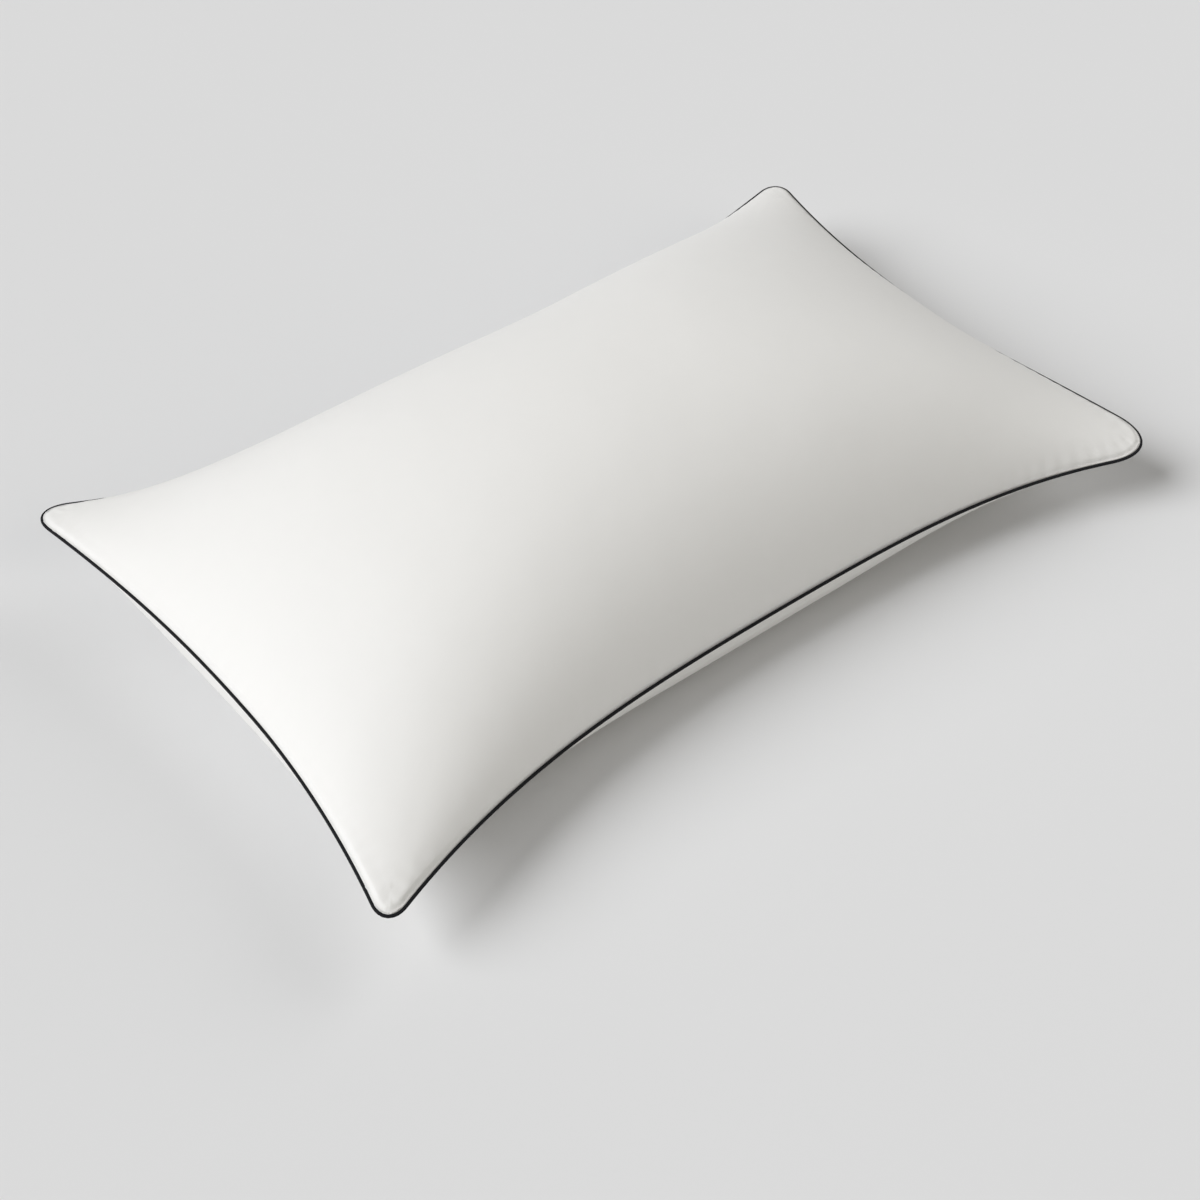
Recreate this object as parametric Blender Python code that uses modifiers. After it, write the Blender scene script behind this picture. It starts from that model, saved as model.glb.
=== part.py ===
"""A piped bed pillow: two shell panels, piping, seam threads, fill and a care label.

+X runs along the pillow, +Y across it and +Z up. The origin is on the floor, under the middle
of the pillow's box. All lengths are in metres.
"""

from math import cos, pi, sin

import bmesh
import bpy
from mathutils import Vector

# Corner-to-corner halves of the filled pillow on the seam line, and the corners' radii. Corners
# are named by the signs of their X and Y.
HALF_LENGTH = 0.3583
HALF_WIDTH = 0.2219
HEIGHT = 0.160
CORNER_RADIUS = {(-1, -1): 0.0180, (1, -1): 0.0477, (-1, 1): 0.0280, (1, 1): 0.0210}

# How far the middle of each side pulls in from the line between its corners, with the powers of
# that curve towards the side's low and high end and the shift of its deepest point.
BOW_FRONT = (0.0611, (3.11, 2.92), -0.066)
BOW_BACK = (0.0640, (2.80, 1.40), 0.052)
BOW_LEFT = (0.0237, (1.74, 2.56), 0.187)
BOW_RIGHT = (0.0468, (1.03, 2.13), 0.103)

# Height of the seam over the floor at each corner, and how far each side's middle lies above
# the line between its corners, with the power and shift of that curve.
CORNER_HEIGHT = {(-1, -1): 0.0471, (1, -1): 0.0419, (-1, 1): 0.0644, (1, 1): 0.0536}
RISE_POWERS = (1.61, 1.61)
RISE_FRONT = (-0.0045, RISE_POWERS, 0.0)
RISE_BACK = (-0.0076, RISE_POWERS, 0.0)
RISE_LEFT = (0.0054, RISE_POWERS, 0.0)
RISE_RIGHT = (0.0177, RISE_POWERS, 0.138)

# The filled forms: powers along and across, then how much and how widely the corners lie flat.
CROWN_FORM = ((2.65, 0.96), (2.47, 0.578), 0.44, 2.08)
BELLY_FORM = ((2.32, 0.273), (2.24, 0.50), 1.98, 2.50)
BELLY = 0.067

# The roll of cloth right beside the seam.
EDGE_ROLL = 0.0058
EDGE_ROLL_CORNER = 0.0075
EDGE_ROLL_POWERS = (30, 0.5)
EDGE_ROLL_SPREAD = 2.5

# Rounds the middle of every side curve, whatever its power.
EASE = 0.04

# Cloth, seam and thread sizes. GAP separates pieces that lie against each other.
SHELL_CLOTH = 0.0006
PIPING_CLOTH = 0.0003
GAP = 0.0006
ALLOWANCE = 0.0045
LABEL_TAPE = 0.0005
CORD_RADIUS = 0.0006
COVER_GAP = 0.0003
THREAD_RADIUS = 0.00015
THREAD_GAP = 0.0003
STITCH_LINE = 0.0035

# The flange plies lie either side of the seam's middle surface. The label lies under the lower ply.
FLANGE_INNER = 0.5 * GAP
FLANGE_OUTER = FLANGE_INNER + PIPING_CLOTH
FOLD_ABOVE = FLANGE_OUTER + GAP
LABEL_LEVEL = FLANGE_OUTER + GAP + 0.5 * LABEL_TAPE
FOLD_BELOW = LABEL_LEVEL + 0.5 * LABEL_TAPE + GAP
COVER_INNER = CORD_RADIUS + COVER_GAP
COVER_OUTER = COVER_INNER + PIPING_CLOTH
PIPING_OFFSET = COVER_OUTER + 0.0005

# The fill keeps clear of the seam allowances.
FILL_INSET = ALLOWANCE + 0.011
FILL_SLACK = 0.0020

# Care label and closing seam, both on the back long side.
LABEL_CENTRE_X = 0.190
LABEL_WIDTH = 0.025
LABEL_DROP = 0.026
CLOSING_LENGTH = 0.180

# Cells along and across the cloth. The fill's grid is coarser.
PANEL_CELLS = (32, 20)
FILL_CELLS = (18, 14)


def clear_scene():
    for obj in list(bpy.data.objects):
        bpy.data.objects.remove(obj, do_unlink=True)


def new_collection(name):
    collection = bpy.data.collections.new(name)
    bpy.context.scene.collection.children.link(collection)
    return collection


def new_material(name, colour, roughness, metallic=0.0):
    material = bpy.data.materials.new(name)
    material.use_nodes = True
    shader = material.node_tree.nodes["Principled BSDF"]
    shader.inputs["Base Color"].default_value = (*colour, 1.0)
    shader.inputs["Roughness"].default_value = roughness
    shader.inputs["Metallic"].default_value = metallic
    return material


# --- The pillow's shape, in unit coordinates: u along and v across, from -1 to 1 ---------------


def mix(first, second, share):
    return first + (second - first) * share


def arch(t, power):
    """1 in the middle of a side and 0 at its corners."""
    low, high = EASE ** (power / 2), (1 + EASE) ** (power / 2)
    return 1 - ((min(t * t, 1.0) + EASE) ** (power / 2) - low) / (high - low)


def dome(t, powers):
    return max(arch(t, powers[0]), 0.0) ** powers[1]


def side_curve(t, side):
    """Depth of a side's curve at t, where a side is its depth, its two powers and its shift."""
    depth, powers, shift = side
    moved = t + shift * (1 - t * t)
    return depth * arch(moved, powers[0] if moved < 0 else powers[1])


def between_corners(values, u, v):
    """Blends four values, named by the signs of their corners."""
    along, across = (1 + u) / 2, (1 + v) / 2
    front = mix(values[-1, -1], values[1, -1], along)
    back = mix(values[-1, 1], values[1, 1], along)
    return mix(front, back, across)


def plan(u, v, inset=0.0):
    """Where a unit point lies in plan, on an outline moved in by inset."""
    pull_x = mix(side_curve(v, BOW_LEFT), side_curve(v, BOW_RIGHT), (1 + u) / 2)
    pull_y = mix(side_curve(u, BOW_FRONT), side_curve(u, BOW_BACK), (1 + v) / 2)
    return u * (HALF_LENGTH - pull_x - inset), v * (HALF_WIDTH - pull_y - inset)


def seam_height(u, v):
    """Height of the surface that the seam lies in."""
    long_rise = mix(side_curve(u, RISE_FRONT), side_curve(u, RISE_BACK), (1 + v) / 2) * v * v
    short_rise = mix(side_curve(v, RISE_LEFT), side_curve(v, RISE_RIGHT), (1 + u) / 2) * u * u
    rises = RISE_FRONT, RISE_BACK, RISE_LEFT, RISE_RIGHT
    middle = sum(rise[0] for rise in rises) / 4 * (1 - u * u) * (1 - v * v)
    return between_corners(CORNER_HEIGHT, u, v) + long_rise + short_rise + middle


CROWN = HEIGHT - seam_height(0, 0) - FOLD_ABOVE - EDGE_ROLL


def filled(u, v, form):
    """Share of the full height at a unit point: 1 in the middle and 0 on the sides."""
    powers_x, powers_y, flat, spread = form
    return (dome(u, powers_x) * dome(v, powers_y)) ** (1 + flat * abs(u * v) ** spread)


def bulge(u, v, rim, ring, size, form):
    """Height of the filled cloth over its fold: 0 on the rounded outline."""
    roll = mix(EDGE_ROLL_CORNER, EDGE_ROLL, arch(u * v, EDGE_ROLL_SPREAD))
    roll *= dome(ring, EDGE_ROLL_POWERS)
    return max(size * (filled(u, v, form) - filled(*rim, form) * ring**8), 0.0) + roll


def rounded(t_u, t_v):
    """Moves a point of the unit square's edge onto the outline with rounded corners."""
    radius = CORNER_RADIUS[1 if t_u > 0 else -1, 1 if t_v > 0 else -1]
    radius_u, radius_v = radius / HALF_LENGTH, radius / HALF_WIDTH
    share_u = (abs(t_u) - (1 - radius_u)) / radius_u
    share_v = (abs(t_v) - (1 - radius_v)) / radius_v
    if share_u <= 0 or share_v <= 0:
        return t_u, t_v
    angle = pi / 4 * share_v if abs(t_u) >= abs(t_v) else pi / 2 - pi / 4 * share_u
    return (
        (1 - radius_u + radius_u * cos(angle)) * (1 if t_u > 0 else -1),
        (1 - radius_v + radius_v * sin(angle)) * (1 if t_v > 0 else -1),
    )


def place(grid_u, grid_v):
    """Unit point, its point on the rim and its ring (0 in the middle, 1 on the rim) of a grid point."""
    u, v = sin(pi / 2 * grid_u), sin(pi / 2 * grid_v)
    ring = max(abs(u), abs(v))
    if ring < 1e-6:
        return (0.0, 0.0), (1.0, 1.0), 0.0
    rim = rounded(u / ring, v / ring)
    bend = ring**4
    return (mix(u, ring * rim[0], bend), mix(v, ring * rim[1], bend)), rim, ring


def top_point(grid_u, grid_v, inset=0.0, slack=0.0):
    (u, v), rim, ring = place(grid_u, grid_v)
    size = CROWN - slack
    rise = bulge(u, v, rim, ring, size, CROWN_FORM)
    return Vector((*plan(u, v, inset), seam_height(u, v) + FOLD_ABOVE + rise))


def bottom_point(grid_u, grid_v, inset=0.0, slack=0.0):
    (u, v), rim, ring = place(grid_u, grid_v)
    drop = bulge(u, v, rim, ring, BELLY, BELLY_FORM)
    level = seam_height(u, v) - FOLD_BELOW - drop + slack
    return Vector((*plan(u, v, inset), max(level, slack)))


def grid_position(vertex):
    return vertex.co.x, vertex.co.y


def grid_rim(cells):
    """Grid points round the square's edge, counter-clockwise from the front left corner."""
    along = [2 * i / cells[0] - 1 for i in range(cells[0])]
    across = [2 * j / cells[1] - 1 for j in range(cells[1])]
    front = [(s, -1) for s in along]
    right = [(1, s) for s in across]
    back = [(-s, 1) for s in along]
    left = [(-1, -s) for s in across]
    return front + right + back + left


def rim_key(grid):
    return round(grid[0], 4), round(grid[1], 4)


def seam_line():
    """Points of the seam's middle surface along the stitching, with the outward directions."""
    points = []
    for grid in grid_rim(PANEL_CELLS):
        (u, v), _, _ = place(*grid)
        points.append(Vector((*plan(u, v), seam_height(u, v))))
    outward = []
    for index, point in enumerate(points):
        behind = (point - points[index - 1]).normalized()
        ahead = (points[(index + 1) % len(points)] - point).normalized()
        outward.append(Vector((behind.y + ahead.y, -behind.x - ahead.x, 0)).normalized())
    return points, outward


def offset_seam(out, up):
    points, outward = seam_line()
    return [p + n * out + Vector((0, 0, up)) for p, n in zip(points, outward)]


# --- Making objects ----------------------------------------------------------------------------


def mesh_object(name, bm, collection, material, smooth_angle=pi / 4):
    mesh = bpy.data.meshes.new(name)
    bm.to_mesh(mesh)
    bm.free()
    mesh.shade_smooth()
    mesh.set_sharp_from_angle(angle=smooth_angle)
    obj = bpy.data.objects.new(name, mesh)
    obj.data.materials.append(material)
    collection.objects.link(obj)
    return obj


def curve_object(name, points, collection, material, radius=0.0, sides=0, cyclic=True):
    """A POLY curve. With a radius it is a tube whose section has 4 + 2 * sides edges."""
    curve = bpy.data.curves.new(name, "CURVE")
    curve.dimensions = "3D"
    curve.twist_mode = "Z_UP"
    curve.bevel_depth = radius
    curve.bevel_resolution = sides
    curve.use_fill_caps = True
    spline = curve.splines.new("POLY")
    spline.points.add(len(points) - 1)
    for spline_point, point in zip(spline.points, points):
        spline_point.co = (*point, 1.0)
    spline.use_cyclic_u = cyclic
    obj = bpy.data.objects.new(name, curve)
    if material:
        obj.data.materials.append(material)
    collection.objects.link(obj)
    return obj


def shell_panel(name, surface, fold, facing, collection, material):
    """One cloth panel: the filled face, folded inwards at the seam into its allowance."""
    bm = bmesh.new()
    bmesh.ops.create_grid(bm, x_segments=PANEL_CELLS[0], y_segments=PANEL_CELLS[1], size=1.0)
    rim_edges = [edge for edge in bm.edges if edge.is_boundary]
    inner = bmesh.ops.extrude_edge_only(bm, edges=rim_edges)["geom"]
    inner = {element for element in inner if isinstance(element, bmesh.types.BMVert)}
    raw_edge = dict(zip(map(rim_key, grid_rim(PANEL_CELLS)), offset_seam(-ALLOWANCE, fold)))
    for vertex in bm.verts:
        grid = grid_position(vertex)
        if vertex in inner:
            vertex.co = raw_edge[rim_key(grid)]
        else:
            vertex.co = surface(*grid)
    if facing < 0:
        bmesh.ops.reverse_faces(bm, faces=bm.faces)
    panel = mesh_object(name, bm, collection, material)
    cloth = panel.modifiers.new("cloth thickness", "SOLIDIFY")
    cloth.thickness = SHELL_CLOTH
    cloth.offset = -1
    return panel


def cover_section(collection):
    """Cross-section of the piping cover: a tube with a slit, whose edges run on as two plies.

    X is outwards from the seam and Y is up, measured from the stitching.
    """
    half_outer = FLANGE_OUTER / COVER_OUTER
    half_inner = FLANGE_INNER / COVER_INNER
    steps_outer, steps_inner = 9, 6
    outline = [(-ALLOWANCE, FLANGE_OUTER)]
    for step in range(steps_outer + 1):
        angle = mix(pi - half_outer, half_outer - pi, step / steps_outer)
        outline.append((PIPING_OFFSET + COVER_OUTER * cos(angle), COVER_OUTER * sin(angle)))
    outline += [(-ALLOWANCE, -FLANGE_OUTER), (-ALLOWANCE, -FLANGE_INNER)]
    for step in range(steps_inner + 1):
        angle = mix(half_inner - pi, pi - half_inner, step / steps_inner)
        outline.append((PIPING_OFFSET + COVER_INNER * cos(angle), COVER_INNER * sin(angle)))
    outline.append((-ALLOWANCE, FLANGE_INNER))
    section = curve_object("piping_section", [(x, y, 0) for x, y in outline], collection, None)
    section.data.dimensions = "2D"
    section.hide_render = True
    section.display_type = "WIRE"
    return section


def piping(collection, guides, cover_material, cord_material):
    cover = curve_object("piping_cover", offset_seam(0, 0), collection, cover_material)
    cover.data.bevel_mode = "OBJECT"
    cover.data.bevel_object = cover_section(guides)
    cord_line = offset_seam(PIPING_OFFSET, 0)
    curve_object("piping_cord", cord_line, collection, cord_material, CORD_RADIUS, 1)


def seam_threads(collection, material):
    """The two threads of the lockstitch and the one that binds the raw edges."""
    rest = SHELL_CLOTH + THREAD_GAP + THREAD_RADIUS
    needle = offset_seam(-STITCH_LINE, FOLD_ABOVE + rest)
    bobbin = offset_seam(-STITCH_LINE, -FOLD_BELOW - rest)
    binding = offset_seam(-ALLOWANCE - 2 * GAP, 0)
    curve_object("seam_needle_thread", needle, collection, material, THREAD_RADIUS)
    curve_object("seam_bobbin_thread", bobbin, collection, material, THREAD_RADIUS)
    curve_object("overlock_thread", binding, collection, material, THREAD_RADIUS)


def back_seam_at(x):
    """Point, outward direction and run of the seam on the back long side at a given x."""
    points, outward = seam_line()
    for index, point in enumerate(points):
        nxt = points[(index + 1) % len(points)]
        if point.y > 0 and nxt.x <= x <= point.x:
            share = (x - point.x) / (nxt.x - point.x)
            normal = outward[index].lerp(outward[(index + 1) % len(points)], share)
            return point.lerp(nxt, share), normal.normalized(), (nxt - point).normalized()
    raise ValueError(f"the back seam doesn't pass x = {x}")


def closing_thread(collection, material):
    """A straight row in the groove between the piping and the bottom panel's fold."""
    steps = 18
    points = []
    for step in range(steps + 1):
        point, normal, _ = back_seam_at(mix(CLOSING_LENGTH / 2, -CLOSING_LENGTH / 2, step / steps))
        points.append(point + normal * 2 * GAP - Vector((0, 0, FOLD_BELOW + GAP)))
    curve_object("closing_thread", points, collection, material, THREAD_RADIUS, cyclic=False)


def care_label(collection, material):
    """A folded tape, held between the flange and the bottom panel, that hangs below the piping."""
    root, normal, along = back_seam_at(LABEL_CENTRE_X)
    under = COVER_OUTER + GAP + LABEL_TAPE
    route = [
        (-ALLOWANCE + 0.001, -LABEL_LEVEL),
        (0.0003, -LABEL_LEVEL),
        (0.0012, -LABEL_LEVEL - 0.0005),
        (PIPING_OFFSET + 0.0006, -under - 0.0003),
        (0.0050, -under - 0.0008),
        (0.0085, -under - 0.0026),
        (0.0130, -under - 0.0070),
        (0.0165, -under - 0.0125),
        (0.0190, -under - 0.0185),
        (0.0205, -LABEL_DROP),
    ]
    bm = bmesh.new()
    bmesh.ops.create_grid(bm, x_segments=len(route) - 1, y_segments=2, size=1.0)
    for vertex in bm.verts:
        step = round((vertex.co.x + 1) / 2 * (len(route) - 1))
        out, up = route[step]
        side = vertex.co.y * LABEL_WIDTH / 2
        vertex.co = root + normal * out + along * side + Vector((0, 0, up))
    label = mesh_object("care_label", bm, collection, material)
    tape = label.modifiers.new("tape thickness", "SOLIDIFY")
    tape.thickness = LABEL_TAPE
    tape.offset = 0
    return label


def fill(collection, material):
    """The stuffing: the pillow's own shape, kept inside the cloth and clear of the allowances."""
    bm = bmesh.new()
    bmesh.ops.create_grid(bm, x_segments=FILL_CELLS[0], y_segments=FILL_CELLS[1], size=1.0)
    bmesh.ops.reverse_faces(bm, faces=bm.faces)
    lifted = bmesh.ops.extrude_face_region(bm, geom=list(bm.faces))["geom"]
    upper = {element for element in lifted if isinstance(element, bmesh.types.BMVert)}
    slack = SHELL_CLOTH + FILL_SLACK
    rim_lift = EDGE_ROLL / 2
    for vertex in bm.verts:
        grid = grid_position(vertex)
        on_rim = max(abs(grid[0]), abs(grid[1])) > 1 - 1e-6
        if vertex in upper:
            vertex.co = top_point(*grid, FILL_INSET, slack) + Vector((0, 0, rim_lift if on_rim else 0))
        else:
            vertex.co = bottom_point(*grid, FILL_INSET, slack)
    bmesh.ops.recalc_face_normals(bm, faces=bm.faces)
    return mesh_object("fill", bm, collection, material)


def main():
    clear_scene()
    parts = new_collection("bed_pillow")
    guides = new_collection("guides")
    shell_cotton = new_material("shell_cotton", (0.80, 0.79, 0.77), 0.60)
    piping_cotton = new_material("piping_cotton", (0.012, 0.012, 0.014), 0.70)
    cord_cotton = new_material("cord_cotton", (0.72, 0.68, 0.60), 0.90)
    thread_white = new_material("thread_white", (0.80, 0.79, 0.77), 0.55)
    fibre_white = new_material("fibre_white", (0.86, 0.85, 0.83), 0.95)
    label_white = new_material("label_white", (0.84, 0.84, 0.83), 0.45)
    shell_panel("shell_top_panel", top_point, FOLD_ABOVE, 1, parts, shell_cotton)
    shell_panel("shell_bottom_panel", bottom_point, -FOLD_BELOW, -1, parts, shell_cotton)
    piping(parts, guides, piping_cotton, cord_cotton)
    seam_threads(parts, thread_white)
    closing_thread(parts, thread_white)
    care_label(parts, label_white)
    fill(parts, fibre_white)


main()
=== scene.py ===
from math import cos, floor, hypot, pi, radians, sin

import bmesh
import bpy
from bpy.props import FloatProperty, FloatVectorProperty, IntProperty, PointerProperty
from mathutils import Matrix, Vector, noise
from mathutils.kdtree import KDTree


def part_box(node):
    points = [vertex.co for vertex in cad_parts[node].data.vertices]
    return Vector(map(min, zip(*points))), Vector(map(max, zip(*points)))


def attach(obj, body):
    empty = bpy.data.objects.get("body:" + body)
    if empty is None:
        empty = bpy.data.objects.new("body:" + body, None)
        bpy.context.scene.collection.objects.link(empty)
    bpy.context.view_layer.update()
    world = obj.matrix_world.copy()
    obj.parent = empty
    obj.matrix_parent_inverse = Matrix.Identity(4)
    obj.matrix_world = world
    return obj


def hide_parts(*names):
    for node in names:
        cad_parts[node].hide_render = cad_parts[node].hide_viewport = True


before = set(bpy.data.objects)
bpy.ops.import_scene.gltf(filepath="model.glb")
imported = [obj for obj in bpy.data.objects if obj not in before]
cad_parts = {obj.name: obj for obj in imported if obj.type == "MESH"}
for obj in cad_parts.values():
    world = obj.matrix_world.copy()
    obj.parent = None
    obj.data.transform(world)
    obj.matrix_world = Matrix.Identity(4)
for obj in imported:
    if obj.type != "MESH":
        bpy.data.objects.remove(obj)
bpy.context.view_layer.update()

bl_info = {
    "name": "Piped bed pillow",
    "version": (1, 0, 0),
    "blender": (4, 5, 0),
    "location": "View3D > Sidebar > Pillow",
    "description": "Makes a filled bed pillow with a sateen shell, fine piping and a care label",
    "category": "Add Mesh",
}

BODY = "root"
MM = 0.001

# Points closer than this are one point.
SAME = 1e-6

# The seam line and the filled shape, as the frame has them. Unit coordinates u (along) and
# v (across) run from -1 to 1 over the pillow.
HALF_LENGTH = 0.3583
HALF_WIDTH = 0.2219
CORNER_RADIUS = {(-1, -1): 0.0180, (1, -1): 0.0477, (-1, 1): 0.0280, (1, 1): 0.0210}

# How far the middle of each side pulls in from the line between its corners, with the powers of
# that curve towards the side's low and high end and the shift of its deepest point.
BOW_FRONT = (0.0611, (3.11, 2.92), -0.066)
BOW_BACK = (0.0640, (2.80, 1.40), 0.052)
BOW_LEFT = (0.0237, (1.74, 2.56), 0.187)
BOW_RIGHT = (0.0468, (1.03, 2.13), 0.103)

# Height of the seam over the floor at each corner, and how far each side's middle lies above
# the line between its corners, with the power and shift of that curve.
CORNER_HEIGHT = {(-1, -1): 0.0471, (1, -1): 0.0419, (-1, 1): 0.0644, (1, 1): 0.0536}
RISE_POWERS = (1.61, 1.61)
RISE_FRONT = (-0.0045, RISE_POWERS, 0.0)
RISE_BACK = (-0.0076, RISE_POWERS, 0.0)
RISE_LEFT = (0.0054, RISE_POWERS, 0.0)
RISE_RIGHT = (0.0177, RISE_POWERS, 0.138)

# The filled forms: powers along and across, then how much and how widely the corners lie flat.
CROWN_FORM = ((2.65, 0.96), (2.47, 0.578), 0.44, 2.08)
BELLY_FORM = ((2.32, 0.273), (2.24, 0.50), 1.98, 2.50)

# The roll of cloth right beside the seam: its powers, how closely the corner roll keeps to the
# corners, and each corner's share of it.
EDGE_ROLL_POWERS = (30, 0.5)
EDGE_ROLL_SPREAD = 2.5
CORNER_ROLL = {(-1, -1): 1.0, (1, -1): 0.97, (-1, 1): 0.95, (1, 1): 1.5}

# Rounds the middle of every side curve, whatever its power.
EASE = 0.04

# How much closer together the cloth's grid lines lie towards the seam.
CROWDING = 0.8

# Where each panel's fold lies at the seam, over and under the stitching line.
FOLD_ABOVE, FOLD_BELOW = 0.95 * MM, 2.25 * MM

# The seam allowance inside the pillow, and the piping strip's two layers within it.
ALLOWANCE = 4.5 * MM
FLANGE_OUTER, FLANGE_INNER = 0.6 * MM, 0.3 * MM

# The piping's middle line outside the stitching, and the radii of the strip round it.
PIPING_OFFSET = 1.7 * MM
COVER_INNER, COVER_OUTER = 0.76 * MM, 1.06 * MM

# Step along the seam line for the cloth and the piping, and a finer one for small pieces.
SEAM_STEP = 0.0025
FINE_STEP = 0.001


def mix(first, second, share):
    return first + (second - first) * share


def smooth(share):
    share = min(max(share, 0.0), 1.0)
    return share * share * (3 - 2 * share)


# --- The pillow's shape --------------------------------------------------------------------------


def arch(t, power):
    """1 in the middle of a side and 0 at its corners."""
    low, high = EASE ** (power / 2), (1 + EASE) ** (power / 2)
    return 1 - ((min(t * t, 1.0) + EASE) ** (power / 2) - low) / (high - low)


def dome(t, powers):
    return max(arch(t, powers[0]), 0.0) ** powers[1]


def side_curve(t, side):
    """Depth of a side's curve at t, where a side is its depth, its two powers and its shift."""
    depth, powers, shift = side
    moved = t + shift * (1 - t * t)
    return depth * arch(moved, powers[0] if moved < 0 else powers[1])


def between_corners(values, u, v):
    """Blends four values, named by the signs of their corners."""
    along, across = (1 + u) / 2, (1 + v) / 2
    front = mix(values[-1, -1], values[1, -1], along)
    back = mix(values[-1, 1], values[1, 1], along)
    return mix(front, back, across)


def plan(u, v, inset=0.0):
    """Where a unit point lies in plan, on an outline moved in by inset."""
    pull_x = mix(side_curve(v, BOW_LEFT), side_curve(v, BOW_RIGHT), (1 + u) / 2)
    pull_y = mix(side_curve(u, BOW_FRONT), side_curve(u, BOW_BACK), (1 + v) / 2)
    return u * (HALF_LENGTH - pull_x - inset), v * (HALF_WIDTH - pull_y - inset)


def seam_height(u, v):
    """Height of the surface that the seam lies in."""
    long_rise = mix(side_curve(u, RISE_FRONT), side_curve(u, RISE_BACK), (1 + v) / 2) * v * v
    short_rise = mix(side_curve(v, RISE_LEFT), side_curve(v, RISE_RIGHT), (1 + u) / 2) * u * u
    rises = RISE_FRONT, RISE_BACK, RISE_LEFT, RISE_RIGHT
    middle = sum(rise[0] for rise in rises) / 4 * (1 - u * u) * (1 - v * v)
    return between_corners(CORNER_HEIGHT, u, v) + long_rise + short_rise + middle


def filled(u, v, form):
    """Share of the full height at a unit point: 1 in the middle and 0 on the sides."""
    powers_x, powers_y, flat, spread = form
    return (dome(u, powers_x) * dome(v, powers_y)) ** (1 + flat * abs(u * v) ** spread)


def bulge(unit, rim, ring, size, form, sizes):
    """Height of the filled cloth over its fold: 0 on the rounded outline."""
    corner_roll = between_corners(CORNER_ROLL, *unit) * sizes.corner_roll
    roll = mix(corner_roll, sizes.edge_roll, arch(unit[0] * unit[1], EDGE_ROLL_SPREAD))
    roll *= dome(ring, EDGE_ROLL_POWERS)
    return max(size * (filled(*unit, form) - filled(*rim, form) * ring**8), 0.0) + roll


def rounded(edge_u, edge_v):
    """Moves a point of the unit square's edge onto the outline with rounded corners."""
    radius = CORNER_RADIUS[1 if edge_u > 0 else -1, 1 if edge_v > 0 else -1]
    radius_u, radius_v = radius / HALF_LENGTH, radius / HALF_WIDTH
    share_u = (abs(edge_u) - (1 - radius_u)) / radius_u
    share_v = (abs(edge_v) - (1 - radius_v)) / radius_v
    if share_u <= 0 or share_v <= 0:
        return edge_u, edge_v
    angle = pi / 4 * share_v if abs(edge_u) >= abs(edge_v) else pi / 2 - pi / 4 * share_u
    return (
        (1 - radius_u + radius_u * cos(angle)) * (1 if edge_u > 0 else -1),
        (1 - radius_v + radius_v * sin(angle)) * (1 if edge_v > 0 else -1),
    )


def crowded(t):
    """Moves grid lines closer together towards the seam."""
    return mix(t, sin(pi / 2 * t), CROWDING)


def place(grid_u, grid_v):
    """A grid point's unit point, its point on the rim and its ring.

    The ring is 0 in the middle and 1 on the rim.
    """
    u, v = crowded(grid_u), crowded(grid_v)
    ring = max(abs(u), abs(v))
    if ring < SAME:
        return (0.0, 0.0), (1.0, 1.0), 0.0
    rim = rounded(u / ring, v / ring)
    bend = ring**4
    return (mix(u, ring * rim[0], bend), mix(v, ring * rim[1], bend)), rim, ring


# Points along each side from which the seam line is measured.
SEAM_CELLS = 400


class SeamLine:
    """The stitching line, as points at even steps along it, with outward directions."""

    def __init__(self, step):
        fine = []
        sides = (
            ((-1, -1), (1, 0)),
            ((1, -1), (0, 1)),
            ((1, 1), (-1, 0)),
            ((-1, 1), (0, -1)),
        )
        for start, turn in sides:
            for cell in range(SEAM_CELLS):
                grid = [s + 2 * t * cell / SEAM_CELLS for s, t in zip(start, turn)]
                unit, _, _ = place(*grid)
                fine.append(Vector((*plan(*unit), seam_height(*unit))))
        fine.append(fine[0].copy())
        lengths = [0.0]
        for first, second in zip(fine, fine[1:]):
            lengths.append(lengths[-1] + (second - first).length)
        self.length = lengths[-1]
        self.count = round(self.length / step)
        self.points = []
        index = 0
        for number in range(self.count):
            distance = self.length * number / self.count
            while lengths[index + 1] < distance:
                index += 1
            share = (distance - lengths[index]) / (lengths[index + 1] - lengths[index])
            self.points.append(fine[index].lerp(fine[index + 1], share))
        self.outward = []
        for number, point in enumerate(self.points):
            run = self.points[(number + 1) % self.count] - self.points[number - 1]
            self.outward.append(Vector((run.y, -run.x, 0)).normalized())

    def at(self, number, out=0.0, up=0.0):
        """The point at a number, which may lie between two whole numbers."""
        first = floor(number) % self.count
        second = (first + 1) % self.count
        share = number - floor(number)
        middle = self.points[first].lerp(self.points[second], share)
        outward = self.outward[first].lerp(self.outward[second], share)
        return middle + outward * out + Vector((0, 0, up))

    def back_number(self, x):
        """The number of the point on the back long side that lies closest to x."""
        back = [n for n in range(self.count) if self.points[n].y > HALF_WIDTH / 2]
        return min(back, key=lambda n: abs(self.points[n].x - x))


class SeamTree:
    """Finds how far a point is from the stitching line, and the number of its closest point."""

    def __init__(self, line):
        self.line = line
        self.tree = KDTree(line.count)
        for number, point in enumerate(line.points):
            self.tree.insert(point, number)
        self.tree.balance()

    def nearest(self, point):
        _, number, _ = self.tree.find(point)
        found = []
        for first in (number - 1, number):
            start, end = self.line.at(first), self.line.at(first + 1)
            run = end - start
            share = min(max((point - start).dot(run) / run.length_squared, 0.0), 1.0)
            found.append(((point - start.lerp(end, share)).length, first + share))
        return min(found)


# --- Meshes --------------------------------------------------------------------------------------


def finish_piece(obj, nodes, material):
    """Gives a made mesh its material and its place in the frame."""
    obj.data.materials.clear()
    obj.data.materials.append(material)
    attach(obj, BODY)
    if nodes:
        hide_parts(*nodes)
    return obj


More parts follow.
